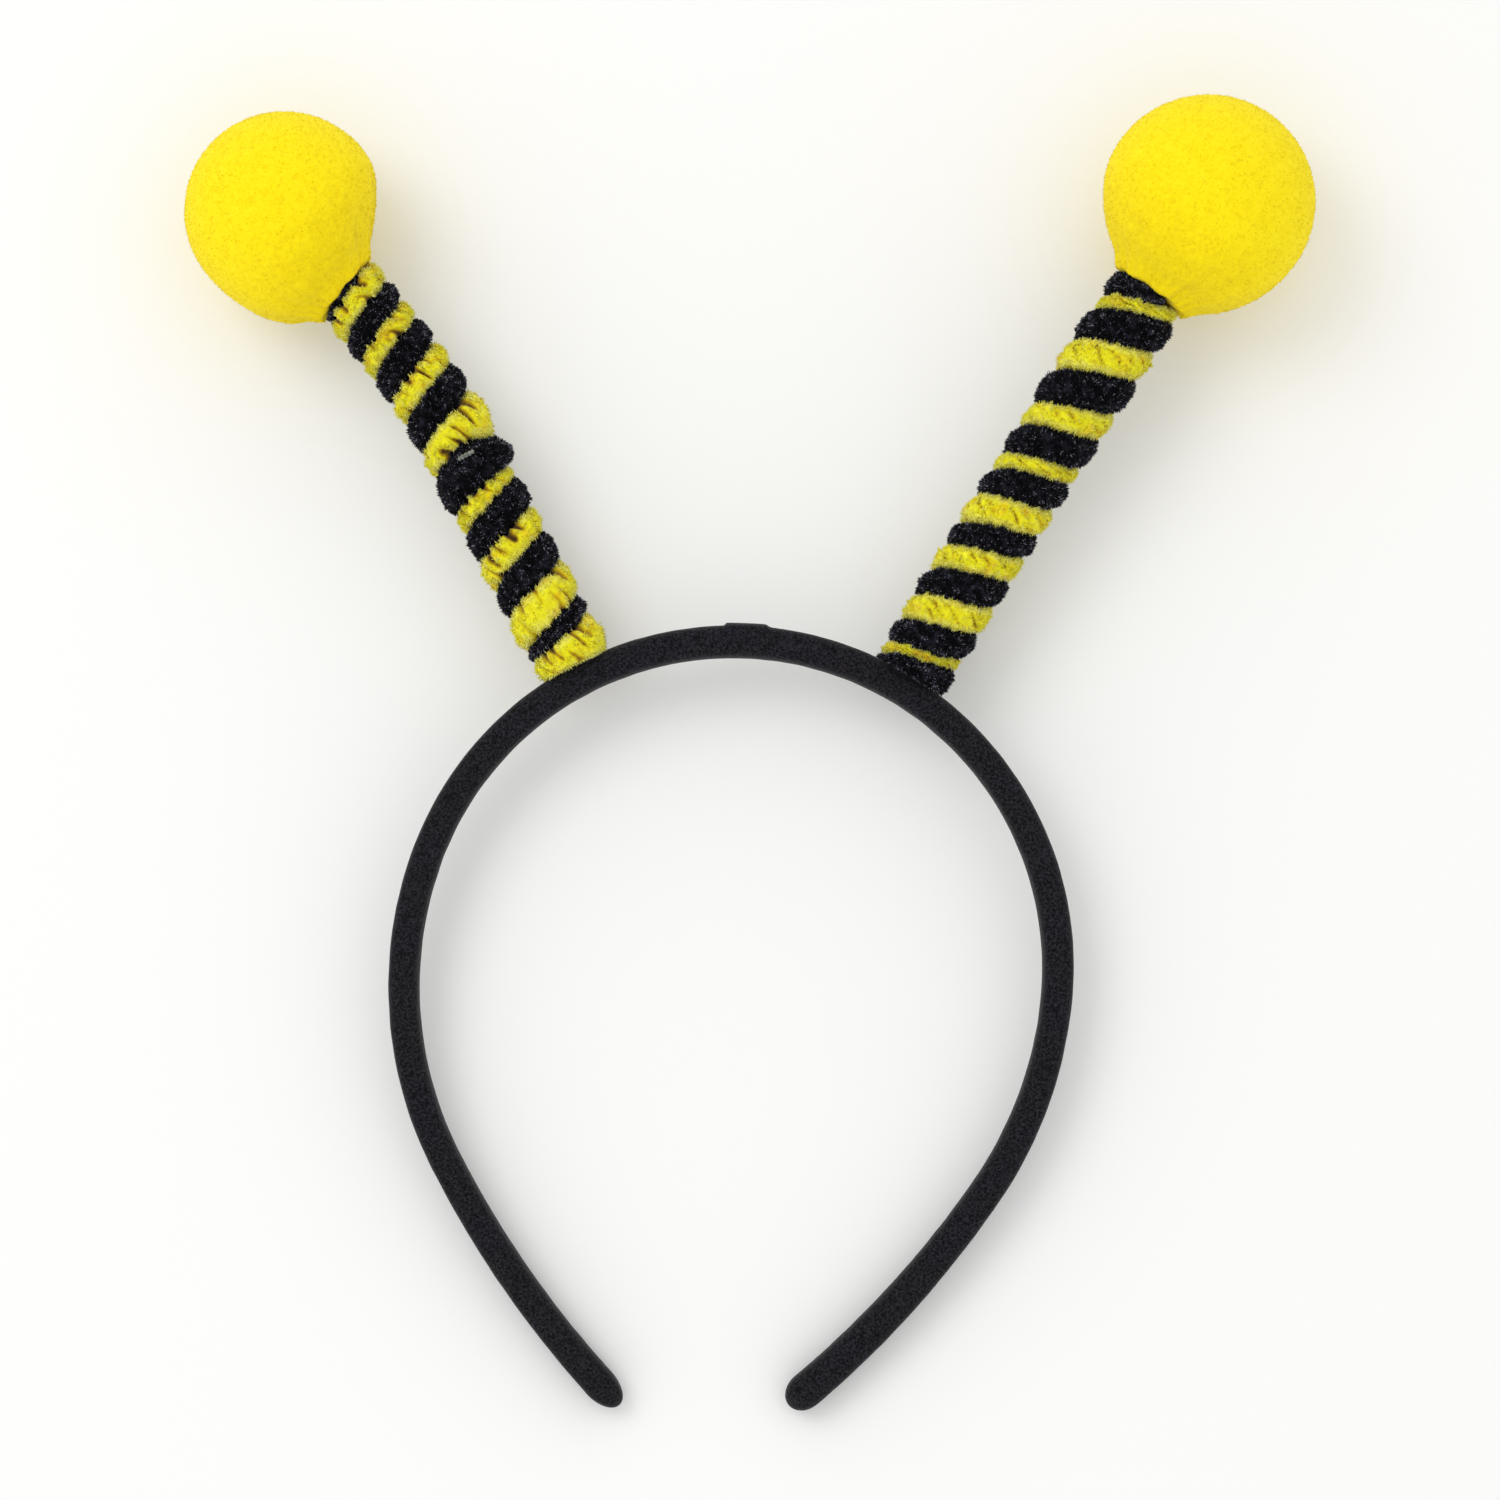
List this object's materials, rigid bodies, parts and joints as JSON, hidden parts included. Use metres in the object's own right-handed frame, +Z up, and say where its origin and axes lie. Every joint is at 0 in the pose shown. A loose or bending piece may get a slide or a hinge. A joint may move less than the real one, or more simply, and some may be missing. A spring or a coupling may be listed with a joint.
{
  "type": "bee antenna headband",
  "caption": "Springy cloth-covered headband open at the bottom, with spring-like antennas wound from black and yellow chenille stems, each topped by a fleece ball.",
  "frame": {"origin": "middle of the underside of the bounding box, with the headband lying on its back on the ends of its arms and on both balls", "axes": "+X to the wearer's left as the headband is seen from the front, +Y from the open ends up to the balls, +Z up from the surface, the front of the headband facing up"},
  "size_m": [0.2174, 0.2522, 0.0413],
  "materials": {
    "band_cloth": "matte fine woven cloth sleeve",
    "post_core": "plain matte, hidden under the winding",
    "black_chenille": "short dense pile with a faint sparkle",
    "yellow_chenille": "short dense pile in tufts",
    "yellow_fleece": "soft matte fleece with a very short nap"
  },
  "bodies": {
    "root": {"headband": "band_cloth", "right_post": "post_core", "right_black_chenille": "black_chenille", "right_yellow_chenille": "yellow_chenille", "right_ball": "yellow_fleece", "left_post": "post_core", "left_black_chenille": "black_chenille", "left_yellow_chenille": "yellow_chenille", "left_ball": "yellow_fleece"}
  },
  "joints": []
}
